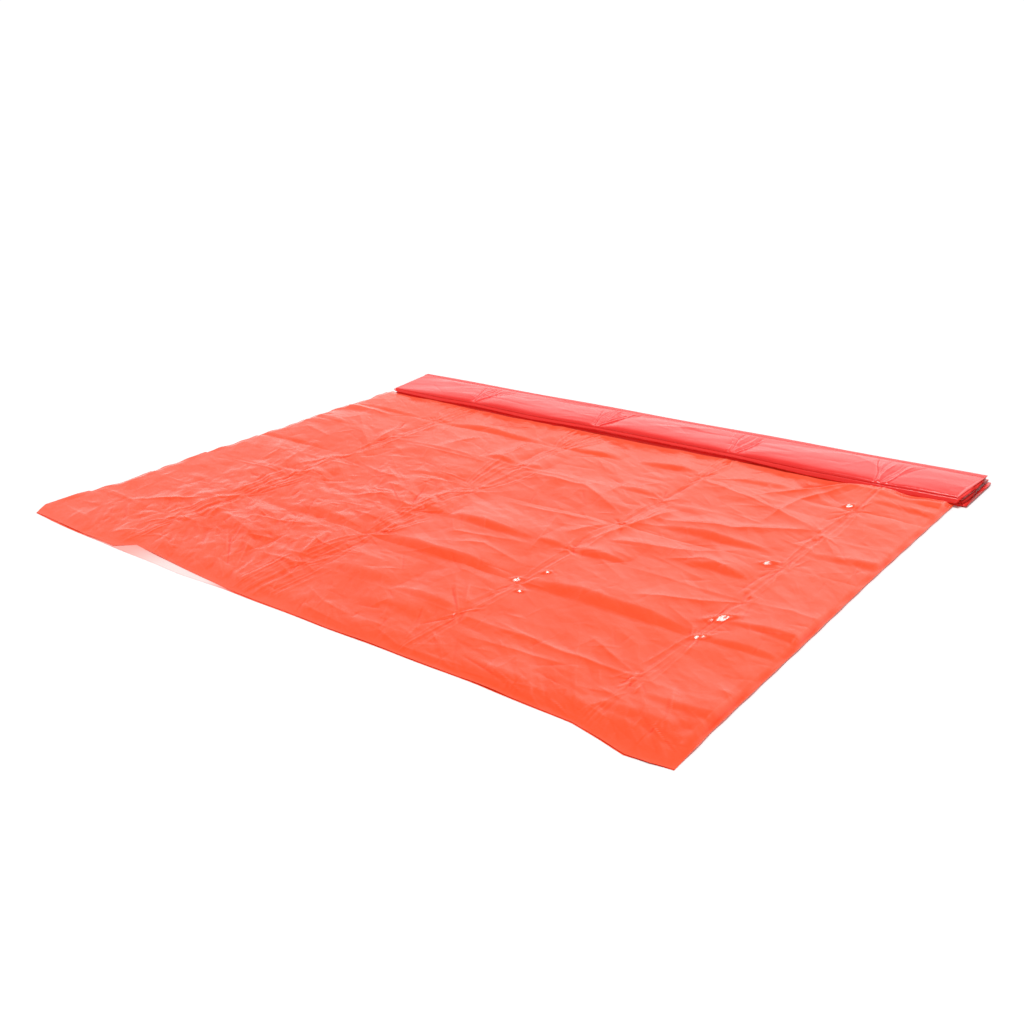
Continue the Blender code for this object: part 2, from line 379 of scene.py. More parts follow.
def crumples(u, v, random):
    """Short stray folds."""
    z = np.zeros(u.shape)
    for _ in range(STRAY_FOLDS):
        a = (random.uniform(0, WIDTH), random.uniform(0, V_PACK))
        crowded = crowding(*a)
        angle = random.normal(-0.5, 0.7)
        length = random.uniform(12, 55) * MM
        b = (a[0] + length * np.cos(angle), a[1] + length * np.sin(angle))
        height = random.choice((-1, 1)) * random.uniform(0.2, 1.0) * crowded
        near = (u > min(a[0], b[0]) - 0.03) & (u < max(a[0], b[0]) + 0.03) & (
            v > min(a[1], b[1]) - 0.03) & (v < max(a[1], b[1]) + 0.03)
        z[near] += fold(u[near], v[near], (a, b), height, random.uniform(1.2, 4.0))
    return z


def facets(u, v, cell, turn, stretch, random):
    """Height of a field of flat triangular facets that meet in sharp creases, in metres for
    slopes of about one half. Facets are cell wide, and stretch times as long towards turn."""
    along = (u * np.cos(turn) + v * np.sin(turn)) / stretch / cell
    across = (v * np.cos(turn) - u * np.sin(turn)) / cell
    column = np.floor(along).astype(int)
    row = np.floor(across).astype(int)
    a, b = along - column, across - row
    corners = random.uniform(-0.5, 0.5, (FACET_TABLE, FACET_TABLE))
    flipped = random.random((FACET_TABLE, FACET_TABLE))[row % FACET_TABLE, column % FACET_TABLE] < 0.5
    a = np.where(flipped, 1 - a, a)
    first, second = column + flipped, column + ~flipped
    low_first = corners[row % FACET_TABLE, first % FACET_TABLE]
    low_second = corners[row % FACET_TABLE, second % FACET_TABLE]
    high_first = corners[(row + 1) % FACET_TABLE, first % FACET_TABLE]
    high_second = corners[(row + 1) % FACET_TABLE, second % FACET_TABLE]
    lower = low_first + (low_second - low_first) * a + (high_first - low_first) * b
    upper = high_second + (high_first - high_second) * (1 - a) + (low_second - high_second) * (1 - b)
    return cell * np.where(a + b < 1, lower, upper)


def billow(u, v, random):
    """Air under the film: long soft swells."""
    z = np.zeros(u.shape)
    for _ in range(SWELLS):
        angle = random.uniform(0, pi)
        length = random.uniform(0.10, 0.28)
        phase = random.uniform(0, 2 * pi)
        along = u * np.cos(angle) + v * np.sin(angle)
        z += SWELL_HEIGHT * np.sin(2 * pi * along / length + phase)
    return z


def upper_height(u, v):
    """Height of the upper film above the ground."""
    random = np.random.default_rng(7)
    z = FILM_LIE + billow(u, v, random) + across_creases(u, v)
    z += along_creases(u, v, random) + crossings(u, v, random) + crumples(u, v, random)
    crowded = crowding(u, v)
    warp = FACET_WARP * np.sin(u / 0.021 + 3 * np.sin(v / 0.05))
    warps = ((warp, warp), (warp, -warp), (0, warp))
    for (weight, cell, turn, stretch, crowding_power), (warp_u, warp_v) in zip(FACET_LAYERS, warps):
        relief = facets(u + warp_u, v + warp_v, cell, turn, stretch, random)
        z += weight * crowded ** crowding_power * relief
    for points, height, half_width in FOLDS:
        z += FOLD_STRENGTH * fold(u, v, points, height, half_width)
    for dimple_u, dimple_v, height, half_width, stretch in DIMPLES:
        along = (u - dimple_u) * np.cos(DIMPLE_TURN) + (v - dimple_v) * np.sin(DIMPLE_TURN)
        across = (v - dimple_v) * np.cos(DIMPLE_TURN) - (u - dimple_u) * np.sin(DIMPLE_TURN)
        distance = np.hypot(along / stretch, across) / (half_width * MM)
        z += height * MM * np.exp(-distance ** 2)
    z += RIDGE_HEIGHT * np.exp(-((u - RIDGE_U) / RIDGE_REACH_U) ** 2) * np.exp(
        -np.abs((v - RIDGE_V) / RIDGE_REACH_V))
    z += front_lift(u) * np.exp(-v / 0.04)
    rise = MOUTH_RISE + NOTCH_RISE * np.exp(-((u - NOTCH_U) / NOTCH_WIDTH) ** 2)
    from_mouth = smooth(v / rise)
    relief = (z - FILM_LIE) * (MOUTH_RELIEF + (1 - MOUTH_RELIEF) * from_mouth)
    for calm_u, calm_v, radius in CALM:
        relief *= 1 - 0.7 * np.exp(-((u - calm_u) ** 2 + (v - calm_v) ** 2) / (radius * MM) ** 2)
    lie = MOUTH_EDGE + (FILM_LIE - MOUTH_EDGE) * from_mouth
    floor = MOUTH_EDGE + (FILM_FLOOR - MOUTH_EDGE) * from_mouth
    softness = (0.3 + 0.7 * from_mouth) * MM
    above = lie + relief - floor
    z = floor + 0.5 * (above + np.sqrt(above ** 2 + softness ** 2))
    side = smooth(np.minimum(u, WIDTH - u) / (SIDE_FALL + CORNER_FALL * np.exp(-v / 0.03)))
    ripple = 0.5 * MM * (1 + np.sin(2 * pi * v / (PITCH / 2) + 3 * u))
    edge = MOUTH_EDGE + (EDGE_LIE + ripple - MOUTH_EDGE) * smooth(v / MOUTH_RISE)
    z = edge * (1 - side) + z * side
    before_pack = smooth((V_PACK + UNDER_PACK - v) / UNDER_PACK_FALL)
    return UNDER_PACK_LIE + (z - UNDER_PACK_LIE) * before_pack


def front_lift(u):
    """How far the upper film's front edge is lifted where it is pulled back."""
    return FRONT_LIFT * window(u, LIFTED[0], LIFTED[1], 0.05)


def left_edge(v):
    """How far the left edge lies outside the bag's middle size: it steps at each crease."""
    outline = np.interp(v, *np.array(LEFT_EDGE).T) * MM
    steps = 4 * MM * np.mod(v / PITCH + 0.1, 1.0) ** 3
    return outline + steps + 0.7 * MM * np.sin(2 * pi * v / 0.031)


def right_edge(v):
    return np.interp(v, *np.array(RIGHT_EDGE).T) * MM


def place(u, v, z):
    """World points of the film, with its side edges run out on the left and drawn in on the
    right."""
    left = left_edge(v) * np.exp(-u / EDGE_REACH)
    right = right_edge(v) * np.exp(-(WIDTH - u) / EDGE_REACH)
    x = X_LEFT + u - left + right
    return np.stack([x, Y_MOUTH + v, z], axis=-1)


# ---------------------------------------------------------------- meshes
FILM_SPACING = 1.4 * MM         # between the points of the upper film
LOWER_SPACING = 3.0 * MM        # between the points of the lower film
BEND_GAIN = 1.2                 # how readily a bend shows as painted highlight on a ridge and painted shade in a valley

# Where the film is paler than its creases make it, matched to the photo: painted light that lifts the
# shade before the pack, painted light at the front edge, and painted light and glare where the lower
# film shows as a single layer.
LIGHT_PAINTED_BEFORE_PACK = 0.7
LIGHT_PAINTED_BEFORE_PACK_REACH = 22 * MM
LIGHT_PAINTED_AT_MOUTH = 0.1
SINGLE_START = 0.13
SINGLE_END = 0.36
SINGLE_FADE = 0.06
SINGLE_REACH = 22 * MM
LOWER_SWELLS = 12               # soft swells of the lower film


def mesh_object(name, points, faces, material):
    mesh = bpy.data.meshes.new(name)
    mesh.from_pydata(points, [], faces)
    mesh.update()
    mesh.shade_smooth()
    mesh.materials.append(material)
    obj = bpy.data.objects.new(name, mesh)
    bpy.context.scene.collection.objects.link(obj)
    return obj


def grid_faces(rows, columns, close=False):
    """Faces of a grid of points, row by row; close joins the last column to the first."""
    across = columns if close else columns - 1
    i = np.arange(rows - 1)[:, None] * columns
    j = np.arange(across)[None, :]
    following = (j + 1) % columns
    faces = np.stack([i + j, i + following, i + columns + following, i + columns + j], axis=-1)
    return faces.reshape(-1, 4).tolist()


def grid_object(name, grid, material):
    rows, columns = grid.shape[:2]
    return mesh_object(name, grid.reshape(-1, 3), grid_faces(rows, columns), material)


def tube_object(name, grid, material):
    """A closed tube: each row of the grid is an outline, and the two end rows are capped."""
    rows, columns = grid.shape[:2]
    faces = grid_faces(rows, columns, close=True)
    faces.append(list(range(columns)))
    faces.append([(rows - 1) * columns + i for i in range(columns - 1, -1, -1)])
    return mesh_object(name, grid.reshape(-1, 3), faces, material)


def store_painted_light(obj, painted_tone):
    """Stores the painted light and shade of the film at each point for its material: 1 at most, as
    painted highlight on a ridge, and down to -1, as painted shade in a valley."""
    attribute = obj.data.attributes.new("painted_light_and_shade", "FLOAT", "POINT")
    attribute.data.foreach_set("value", np.clip(painted_tone, -1, 1).astype(np.float32).ravel())


def bend_of(z, spacing):
    """How sharply a height grid bends: above 0 on its ridges, below 0 in its valleys."""
    bend = np.zeros(z.shape)
    bend[1:-1, 1:-1] = 4 * z[1:-1, 1:-1] - z[2:, 1:-1] - z[:-2, 1:-1] - z[1:-1, 2:] - z[1:-1, :-2]
    return bend / spacing * BEND_GAIN


def upper_film(name, v_start, v_end, material):
    """One band of the upper film, from one line across it to another."""
    rows = round((v_end - v_start) / FILM_SPACING) + 1
    columns = round(WIDTH / FILM_SPACING) + 1
    u, v = np.meshgrid(np.linspace(0, WIDTH, columns), np.linspace(v_start, v_end, rows))
    z = upper_height(u, v)
    drawn = front_edge(u, UPPER_FRONT) * np.exp(-v / FRONT_REACH)
    obj = grid_object(name, place(u, v + drawn, z), material)
    # Painted highlight and shade on the film's bends, painted light before the pack and at its front
    # edge.
    lit_before_pack = LIGHT_PAINTED_BEFORE_PACK * np.exp(-((V_PACK - v) / LIGHT_PAINTED_BEFORE_PACK_REACH) ** 2)
    by_mouth = LIGHT_PAINTED_AT_MOUTH * np.exp(-v / MOUTH_RISE)
    store_painted_light(obj, bend_of(z, FILM_SPACING) + lit_before_pack + by_mouth)
    return obj


def front_edge(u, outline):
    """How far behind the bag's front line the front edge of a film lies."""
    return np.interp(u, *np.array(outline).T) + 0.3 * MM * np.sin(57 * u)


def lower_height(u, v):
    """Height of the lower film: almost flat, and lowest at the mouth and at the pack."""
    random = np.random.default_rng(3)
    z = LOWER_LIE * np.ones(u.shape)
    for _ in range(LOWER_SWELLS):
        angle = random.uniform(0, pi)
        length = random.uniform(0.03, 0.12)
        phase = random.uniform(0, 6)
        along = u * np.cos(angle) + v * np.sin(angle)
        z += 0.03 * MM * np.sin(2 * pi * along / length + phase)
    by_mouth = 0.25 + 0.75 * smooth(v / 0.03)
    return z * by_mouth * smooth((V_PACK + 0.01 - v) / 0.02) + 0.1 * MM


def lower_film(name, v_start, v_end, material):
    """The lower film with the tube's side folds, up to the edges of the upper film."""
    rows = round((v_end - v_start) / LOWER_SPACING) + 1
    v_line = np.linspace(v_start, v_end, rows)
    u_line = np.linspace(0, WIDTH, round(WIDTH / LOWER_SPACING) + 1)
    u, v = np.meshgrid(u_line, v_line)
    z = lower_height(u, v)
    drawn = front_edge(u, LOWER_FRONT) * np.exp(-v / FRONT_REACH)
    floor_part = place(u, v + drawn, z)
    arcs = []
    for side_u, side in ((0.0, -1), (WIDTH, 1)):
        edge_u = np.full(v_line.shape, side_u)
        top_v = v_line + front_edge(edge_u, UPPER_FRONT) * np.exp(-v_line / FRONT_REACH)
        top = place(edge_u, top_v, upper_height(edge_u, v_line))
        bottom = floor_part[:, 0 if side < 0 else -1]
        arcs.append(side_arc(bottom, top, side))
    grid = np.concatenate([arcs[0][:, :0:-1], floor_part, arcs[1][:, 1:]], axis=1)
    obj = grid_object(name, grid, material)
    u_all = grid[..., 0] - X_LEFT
    v_all = grid[..., 1] - Y_MOUTH
    # Painted light and glare where the lower film shows as a single layer, near its front edge.
    strength = 0.45 + 0.55 * smooth((u_all - 0.18) / 0.10)
    single = window(u_all, SINGLE_START, SINGLE_END, SINGLE_FADE) * strength
    store_painted_light(obj, single * np.exp(-(v_all / SINGLE_REACH) ** 4))
    return obj


def side_arc(bottom, top, side, points=13):
    """The film's fold from the lower film's edge round to the upper film's edge."""
    t = np.linspace(0, 1, points)[None, :, None]
    arc = bottom[:, None] * (1 - t) + top[:, None] * t
    rise = (top[:, 2] - bottom[:, 2])[:, None]
    arc[..., 0] += side * 0.4 * rise * np.sin(pi * t[..., 0])
    arc[..., 2] = bottom[:, None, 2] + rise * (1 - np.cos(pi * t[..., 0])) / 2
    return arc


# ---------------------------------------------------------------- the pack
SKIN = 0.05 * MM                # how far a panel's film stands proud of its solid
FAR_RIM = 1.4 * MM              # depth of the folds on the far edge
ROLL_FACE = 3.5 * MM            # depth of the sloping face on the front of a full fold
TOP_PUFF = 4.2 * MM             # air in the top panel
WELD_GAP = 0.3 * MM             # between the top panel's film and the weld band
NOSE_STEPS = 9                  # points round a panel's near fold
RIM_STEPS = 5                   # points round a panel's far fold
TUCKED_STATIONS, STATIONS, TOP_STATIONS = 151, 301, 901     # outlines along a panel
TUCKED_ROWS, ROWS, TOP_ROWS = 6, 8, 42      # points over its flat part, both ends counted
TOP_PANEL_PAIR = 12             # the top fold of the near edge joins panels 11 and 12
LOWER_ROLL_PAIR = 6             # a second fold that shows below it joins panels 5 and 6

# The top near fold by place across the bag: (u, how far it reaches out, how far it hangs), mm.
TOP_FOLD = (
    (0.00, 5.0, 4.0), (0.10, 7.0, 4.6), (0.17, 4.0, 2.8), (0.28, 8.5, 4.6), (0.395, 3.0, 2.2),
    (0.50, 2.5, 2.8), (0.61, 3.0, 2.6), (0.71, 7.5, 5.8), (0.80, 6.5, 6.2), (0.87, 3.5, 6.0),
    (0.90, 2.0, 5.8),
)


# How tightly each crease that crosses the pack holds its layers together, 0 to 1, and how many
# fine folds fan out over it on the top panel.
CREASE_HOLDS = (0.40, 0.55, 0.45, 0.25)
TOP_FANS = (9, 14, 8, 9)
FAN_NEAR = 16 * MM              # width of a fan at the near edge
FAN_FAR = 66 * MM               # and at the far edge
TOP_CRUMPLES = 90


def panel_heights(number):
    """Heights of a stacked panel's underside and top; panel 0 is the tucked one."""
    node = f"foot_panel_{number:02d}" if number else "tucked_panel"
    low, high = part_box(node)
    return max(low.z - SKIN, SKIN), high.z + SKIN


def pinch(u):
    """1 between the creases that cross the pack, less where they hold its layers together."""
    pinched = np.ones(u.shape)
    for crease, hold in zip(CREASES_ALONG, CREASE_HOLDS):
        pinched = pinched - hold * np.exp(-((u - crease) / (20 * MM)) ** 2)
    return pinched * (0.15 + 0.85 * smooth(u / 0.10)) * (0.75 + 0.25 * smooth((WIDTH - u) / 0.05))


def near_fold(pair, u):
    """Reach and hang of the near fold that joins panels pair - 1 and pair."""
    places, reach, hang = np.array(TOP_FOLD).T
    reach = np.interp(u, places, reach) * MM
    hang = np.interp(u, places, hang) * MM
    if pair == TOP_PANEL_PAIR:
        return reach, hang
    if pair == LOWER_ROLL_PAIR:
        shows = smooth((0.66 - u) / 0.06)
        return 0.5 * MM + 0.95 * reach * shows, 3.2 * MM * shows * (0.5 + 0.5 * pinch(u))
    wander = 0.3 * MM * (1 + np.sin(23 * u + pair))
    return 0.3 * MM + wander, np.zeros(u.shape)


def bulb(s):
    """Profile of a full fold: round at its tip, fullest a third of the way along."""
    return 2.6 * np.sqrt(s) * (1 - s)


def pillow(s):
    """Profile of the top panel: round at its near edge and falling to its far edge."""
    return 2.10 * s ** 0.35 * (1 - s) ** 0.9


def quarter(s):
    """Profile of a plain round edge: a quarter of a circle, 0 to 1."""
    return np.sqrt(np.clip(s * (2 - s), 0, 1))


def pack_top(u, t):
    """Fine folds on the pack's top panel, fanned out over each crease; t runs from the near
    edge, 0, to the far edge, 1."""
    random = np.random.default_rng(21)
    z = np.zeros(u.shape)
    for crease, folds in zip(CREASES_ALONG, TOP_FANS):
        for i in range(folds):
            spread = (i + random.uniform(0, 0.7)) / folds - 0.5
            near_u = crease + FAN_NEAR * spread - 4 * MM
            far_u = crease + FAN_FAR * spread - 8 * MM
            line = near_u + (far_u - near_u) * t + 2 * MM * np.sin(6 * t + i)
            height = random.choice((1, -1, -1)) * random.uniform(0.6, 1.7) * MM
            start = random.uniform(-0.1, 0.1)
            reach = window(t, start, start + random.uniform(0.7, 1.1), 0.25)
            half_width = random.uniform(0.9, 1.8) * MM
            z += height * reach * np.exp(-np.abs(u - line) / half_width)
    for _ in range(TOP_CRUMPLES):
        a = (random.uniform(0, WIDTH), random.uniform(0, PITCH))
        angle = random.normal(0, 0.35)
        length = random.uniform(20, 110) * MM
        b = (a[0] + length * np.cos(angle), a[1] + length * np.sin(angle))
        height = random.choice((-1, 1)) * random.uniform(0.15, 0.6)
        z += fold(u, t * PITCH, (a, b), height, random.uniform(3, 7))
    z += 0.06 * facets(u, t * PITCH, 30 * MM, 0.2, 2.5, random)
    return z * window(t, 0.04, 0.96, 0.12)


def panel_section(number, u, rows):
    """Outline of one stacked panel at each station across the bag, as arrays of y and z: its
    top from the near edge to the far edge, and its underside back."""
    low, high = panel_heights(number)
    thickness = high - low
    joins_up_at_near = number % 2 == 1
    reach, hang = near_fold(number + number % 2, u)
    if number == 0:
        reach = np.zeros(u.shape)
    if joins_up_at_near:
        reach = reach + ROLL_FACE * smooth(hang / MM)
    far = Y_FAR + 0.5 * MM * np.sin(11 * u + 1.7 * number)
    if number == PACK_PANELS:
        far = np.full(u.shape, WELD_LOW.y - WELD_GAP)
    nose = np.linspace(0, 1, NOSE_STEPS) ** 2
    tip = (Y_NEAR - reach)[:, None]
    nose_depth = (reach + 0.8 * MM)[:, None]
    flat = np.linspace(0, 1, rows)[1:-1]
    rim = 1 - (1 - np.linspace(0, 1, RIM_STEPS)) ** 2
    flat_start = tip + nose_depth
    flat_end = far[:, None] - FAR_RIM
    y = np.concatenate([tip + nose_depth * nose, flat_start + (flat_end - flat_start) * flat,
                        flat_end + FAR_RIM * rim], axis=1)
    near_s = np.clip((y - tip) / nose_depth, 0, 1)
    far_s = np.clip((far[:, None] - y) / FAR_RIM, 0, 1)
    if joins_up_at_near:
        full = bulb(near_s)
        fullness = np.where(near_s < 1 / 3, 0.7 + 0.3 * full, full)
        under = high - thickness * quarter(near_s) - hang[:, None] * fullness
        face = np.clip((y - tip) / ROLL_FACE, 0, 1)
        top = low + thickness * quarter(far_s) - 0.7 * hang[:, None] * (1 - face) ** 1.3
    else:
        top = low + thickness * quarter(near_s)
        under = high - thickness * quarter(far_s)
    if number == LOWER_ROLL_PAIR:
        top = top + 0.5 * hang[:, None] * bulb(near_s)
    if number == PACK_PANELS:
        across = (y - tip) / (far[:, None] - tip)
        u_grid = np.repeat(u[:, None], y.shape[1], axis=1)
        top = top + (TOP_PUFF * pinch(u))[:, None] * pillow(across) + pack_top(u_grid, across)
        top = np.maximum(top, low + 0.3 * thickness * quarter(near_s))
        under = low + 0.3 * thickness * (1 - quarter(far_s))
    outline_y = np.concatenate([y, y[:, -2:0:-1]], axis=1)
    outline_z = np.concatenate([top, under[:, -2:0:-1]], axis=1)
    return outline_y, outline_z


# How far each pair of panels ends beyond the right edge of the bag, in mm, from the tucked one up.
RIGHT_ENDS = (-2, 1, -5, -2, -7, -3, -4)
END_POWER = 8                   # how closely such a difference keeps to the ends
END_ROUNDING = (0.0, 0.35, 0.7, 0.9)    # how far in from a panel's end each of its last outlines is
END_LEAST = 0.1                 # height left at the end itself, as a share
WELD_LEFT = 18 * MM             # how far the weld band runs out to the left
WELD_RIGHT = -3 * MM            # and to the right
WELD_LINES = (0.3, 0.62)        # places of its raised lines, across the band
WELD_LINE_WIDTH = 0.07
WELD_LINE_RISE = 0.18 * MM
WELD_HALF = 0.12 * MM           # half its thickness between the lines
WELD_CURL = 0.35 * MM

# Colour of the pack, matched to the photo: the left end of its top panel is paler, as painted
# sheen, and the rest of its top and its front are deeper, as painted shade.
TOP_LEFT_PAINTED_SHEEN = 0.35
TOP_LEFT_SHEEN_REACH = 0.14
TOP_PAINTED_SHADE = 0.2
FRONT_PAINTED_SHADE = 0.3


def run_out(u, left, right):
    """World x along a panel whose ends run out by left and right past the bag's middle size."""
    share = (u / WIDTH)[:, None]
    return X_LEFT + u[:, None] - left * (1 - share) ** END_POWER + right * share ** END_POWER


def panel_film(number, stations, rows, material, name):
    """One folded panel of film: a closed, flattened length of the tube."""
    pair = (number + 1) // 2
    random = np.random.default_rng(100 + pair)
    u = np.linspace(0, WIDTH, stations)
    y, z = panel_section(number, u, rows)
    t = (y - Y_NEAR) / PITCH
    left = random.uniform(-3, 3) * MM + random.uniform(2, 9) * MM * t
    right = RIGHT_ENDS[pair] * MM + 1.5 * MM * np.sin(7 * t + 2 * pair)
    if number == PACK_PANELS:
        left = 3 * MM + 15 * MM * t
        right = -8 * MM + 5 * MM * t
    end_round = np.array(END_ROUNDING)
    ends = len(END_ROUNDING)
    squeeze = np.ones(stations)
    squeeze[:ends] = np.sqrt(1 - (1 - end_round) ** 2) * (1 - END_LEAST) + END_LEAST
    squeeze[-ends:] = squeeze[:ends][::-1]
    middle = np.mean(panel_heights(number))
    z = middle + (z - middle) * squeeze[:, None]
    obj = tube_object(name, np.stack([run_out(u, left, right), y, z], axis=-1), material)
    # Painted light and shade: on the top panel, painted highlight and shade on its bends, painted
    # sheen at its left end and painted shade over the whole panel; on every panel, painted shade on
    # its front.
    painted_tone = np.zeros(z.shape)
    if number == PACK_PANELS:
        left_sheen = TOP_LEFT_PAINTED_SHEEN * np.exp(-(u / TOP_LEFT_SHEEN_REACH) ** 2)[:, None]
        painted_tone = bend_of(z, WIDTH / stations) + left_sheen - TOP_PAINTED_SHADE
    painted_tone = painted_tone - FRONT_PAINTED_SHADE * smooth((Y_NEAR + 4 * MM - y) / (8 * MM))
    store_painted_light(obj, painted_tone)
    return obj


def weld_band(material):
    """The fused strip across the foot: thin, with two raised weld lines along it."""
    u = np.linspace(0, WIDTH, 361)
    profile = np.linspace(0, 1, 25)
    lift = WELD_LINE_RISE * sum(
        np.exp(-((profile - line) / WELD_LINE_WIDTH) ** 2) for line in WELD_LINES)
    middle = (WELD_LOW.z + WELD_HIGH.z) / 2
    y_top = WELD_LOW.y + (WELD_HIGH.y - WELD_LOW.y) * profile
    curl = WELD_CURL * np.sin(23 * u)[:, None]
    top = middle + WELD_HALF + lift[None, :] + curl
    bottom = middle - WELD_HALF - lift[None, ::-1] + curl
    z = np.concatenate([top, bottom], axis=1)
    y = np.broadcast_to(np.concatenate([y_top, y_top[::-1]]), z.shape)
    x = np.broadcast_to(run_out(u, WELD_LEFT, WELD_RIGHT), z.shape)
    obj = tube_object("foot_weld_band", np.stack([x, y, z], axis=-1), material)
    store_painted_light(obj, np.zeros(z.shape))
    return obj


# ---------------------------------------------------------------- materials
def new_material(name):
    material = bpy.data.materials.new(name)
    material.use_nodes = True
    nodes = material.node_tree.nodes
    return material, nodes, material.node_tree.links, nodes["Principled BSDF"]


FILM_IOR = 1.50                 # polythene
GLOW = 0.07                     # stands for daylight that passes through the thin film
VALLEY_PAINTED_SHADE = (0.88, 0.35, 0.35)       # what is left of each colour in a deep valley, as painted shade
SMOOTHEST, ROUGHEST = 0.06, 0.08        # how far roughness strays below and above its middle
DRIFT_SCALE, DRIFT_DETAIL = 9.0, 4.0    # noise that moves the film's colour
HAZE_SCALE, HAZE_DETAIL = 38.0, 6.0     # noise that moves its roughness
RIPPLE_SCALE, RIPPLE_DETAIL = 55.0, 5.0     # noise for the finest ripples, as bump
RIPPLE_DISTORTION = 1.2
RIPPLE_STRENGTH = 0.35
RIPPLE_HEIGHT = 0.0008


def noise(nodes, links, place_node, scale, detail):
    node = nodes.new("ShaderNodeTexNoise")
    node.inputs["Scale"].default_value = scale
    node.inputs["Detail"].default_value = detail
    links.new(place_node.outputs["Object"], node.inputs["Vector"])
    return node


def towards(nodes, links, factor, colour):
    """A mix towards one colour, as strongly as the factor says."""
    node = nodes.new("ShaderNodeMix")
    node.data_type = "RGBA"
    node.inputs["B"].default_value = colour
    links.new(factor, node.inputs["Factor"])
    return node


def film_material(name, colour, thin_colour, painted_pale_colour, roughness):
    """Glossy, slightly see-through polythene: its colour drifts with the film's thickness. It
    pales on the ridges of its creases as painted highlight and deepens in their valleys as painted
    shade, and takes the other painted light and shade that its meshes carry."""
    material, nodes, links, shader = new_material(name)
    shader.inputs["IOR"].default_value = FILM_IOR
    shader.inputs["Emission Color"].default_value = colour
    shader.inputs["Emission Strength"].default_value = GLOW
    place_node = nodes.new("ShaderNodeTexCoord")

    drift = noise(nodes, links, place_node, DRIFT_SCALE, DRIFT_DETAIL)
    tint = towards(nodes, links, drift.outputs["Fac"], thin_colour)
    tint.inputs["A"].default_value = colour

    # Painted light and shade: paler towards the painted pale colour, deeper towards the valley
    # colour.
    painted_tone = nodes.new("ShaderNodeAttribute")
    painted_tone.attribute_name = "painted_light_and_shade"
    pale = towards(nodes, links, painted_tone.outputs["Fac"], painted_pale_colour)
    links.new(tint.outputs["Result"], pale.inputs["A"])
    valley = nodes.new("ShaderNodeMath")
    valley.operation = "MULTIPLY"
    valley.inputs[1].default_value = -1.0
    links.new(painted_tone.outputs["Fac"], valley.inputs[0])
    valley_colour = [shade * level for shade, level in zip(VALLEY_PAINTED_SHADE, colour)] + [1]
    deep = towards(nodes, links, valley.outputs["Value"], valley_colour)
    links.new(pale.outputs["Result"], deep.inputs["A"])
    links.new(deep.outputs["Result"], shader.inputs["Base Color"])

    haze = noise(nodes, links, place_node, HAZE_SCALE, HAZE_DETAIL)
    gloss = nodes.new("ShaderNodeMapRange")
    gloss.inputs["To Min"].default_value = roughness - SMOOTHEST
    gloss.inputs["To Max"].default_value = roughness + ROUGHEST
    links.new(haze.outputs["Fac"], gloss.inputs["Value"])
    links.new(gloss.outputs["Result"], shader.inputs["Roughness"])

    ripple = noise(nodes, links, place_node, RIPPLE_SCALE, RIPPLE_DETAIL)
    ripple.inputs["Distortion"].default_value = RIPPLE_DISTORTION
    bump = nodes.new("ShaderNodeBump")
    bump.inputs["Strength"].default_value = RIPPLE_STRENGTH
    bump.inputs["Distance"].default_value = RIPPLE_HEIGHT
    links.new(ripple.outputs["Fac"], bump.inputs["Height"])
    links.new(bump.outputs["Normal"], shader.inputs["Normal"])
    return material


def floor_material():
    material, nodes, links, shader = new_material("studio_floor")
    shader.inputs["Base Color"].default_value = (0.90, 0.90, 0.90, 1.0)
    shader.inputs["Roughness"].default_value = 0.9
    shader.inputs["Specular IOR Level"].default_value = 0.1
    return material


# ---------------------------------------------------------------- studio
# Brightness of the studio walls, by the sine of the height above the horizon.
DIM_WALL = ((0.08, 1.0), (0.25, 0.58), (0.50, 0.54), (0.75, 0.20))
BRIGHT_WALL = ((0.08, 1.0), (0.30, 0.98), (0.55, 0.80), (0.75, 0.20))
BRIGHT_SIDE = (0.35, 0.94, 0.0)         # the way to the bright wall, which is behind the bag
BRIGHT_START, BRIGHT_END = 0.35, 0.65   # how far round towards it the walls turn bright
WALL_STRENGTH = 1.05
SOFTBOX_STRENGTH = 2.5
SOFTBOX_ANGLE = 20              # degrees across, as seen from the bag
SOFTBOX_TURN = (-8, -4)         # degrees from straight above
FLOOR_HALF = 9                  # half the studio floor's width
CAMERA_PLACE = (0.792, -0.945, 0.476)
CAMERA_TURN = (39.80, 68.22, -2.17)     # degrees: heading, up from straight down, roll
CAMERA_LENS = 38.5
CAMERA_SENSOR = 36.0


